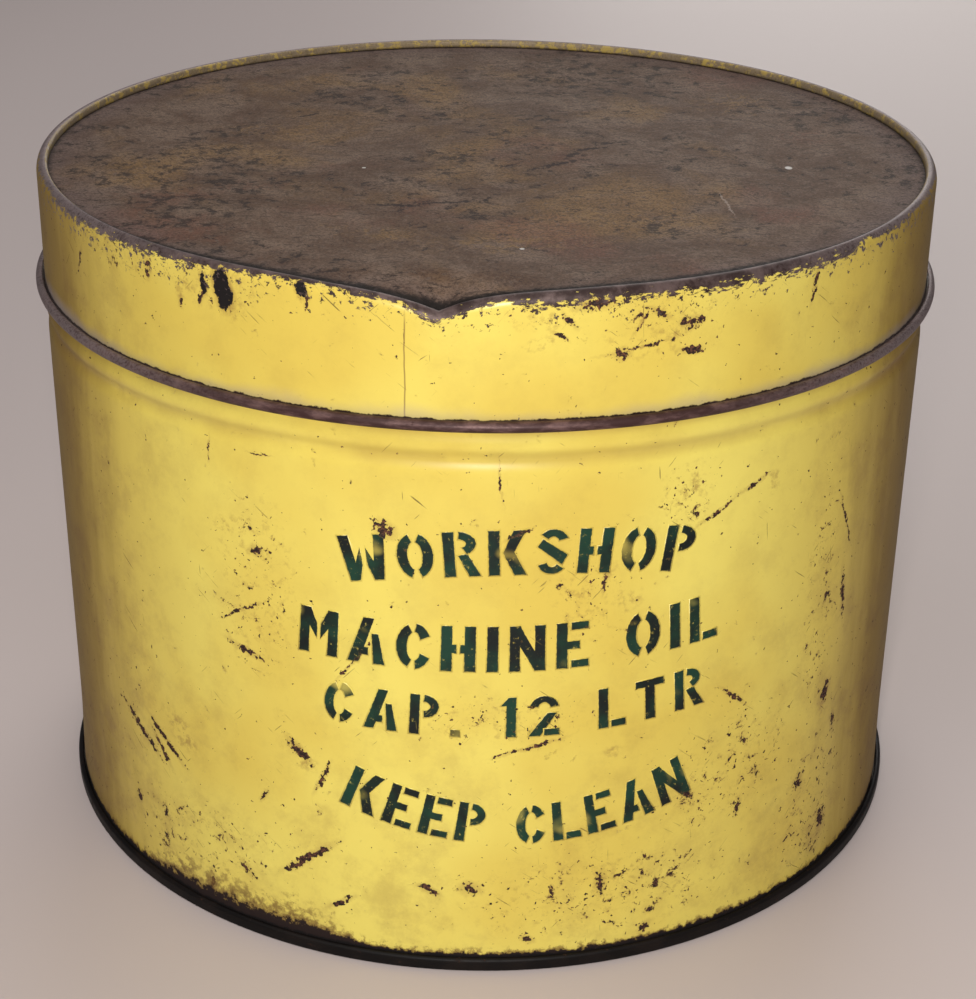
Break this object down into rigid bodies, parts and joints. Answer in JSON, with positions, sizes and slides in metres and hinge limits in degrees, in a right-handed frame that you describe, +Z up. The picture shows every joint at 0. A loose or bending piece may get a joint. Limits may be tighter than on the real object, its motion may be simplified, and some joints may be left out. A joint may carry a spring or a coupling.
{
  "type": "oil can",
  "caption": "Short round tinplate oil tin with a deep slip-on lid that has a wired edge, a recessed top panel and a knocked rim, over a double-seamed bottom.",
  "frame": {"origin": "centre of the bottom seam, on the ground", "axes": "+Z up along the tin's axis; -Y is the front, where the lettering is and near which the lid's rim is knocked; +X to the right seen from the front"},
  "size_m": [0.2864, 0.2864, 0.215],
  "materials": {
    "yellow_enamel": "glossy enamel, chipped, scratched and rust-spotted",
    "worn_tinplate": "paint worn away to stained brown-grey tinplate",
    "black_enamel": "glossy black, chipped",
    "steel_wire": "plain drawn wire",
    "solder": "dull soft solder",
    "sealing_compound": "matt"
  },
  "bodies": {
    "can": {"body_shell": "yellow_enamel", "bottom_end": "black_enamel", "seam_compound": "sealing_compound", "side_seam_solder": "solder", "mouth_wire": "steel_wire"},
    "lid": {"lid_skirt": "yellow_enamel", "lid_panel": "worn_tinplate", "lid_rim_wire": "steel_wire"}
  },
  "joints": [
    {"name": "lid_lift", "type": "slide", "parent": "can", "child": "lid", "axis": [0, 0, 1], "range_m": [0, 0.12]}
  ]
}
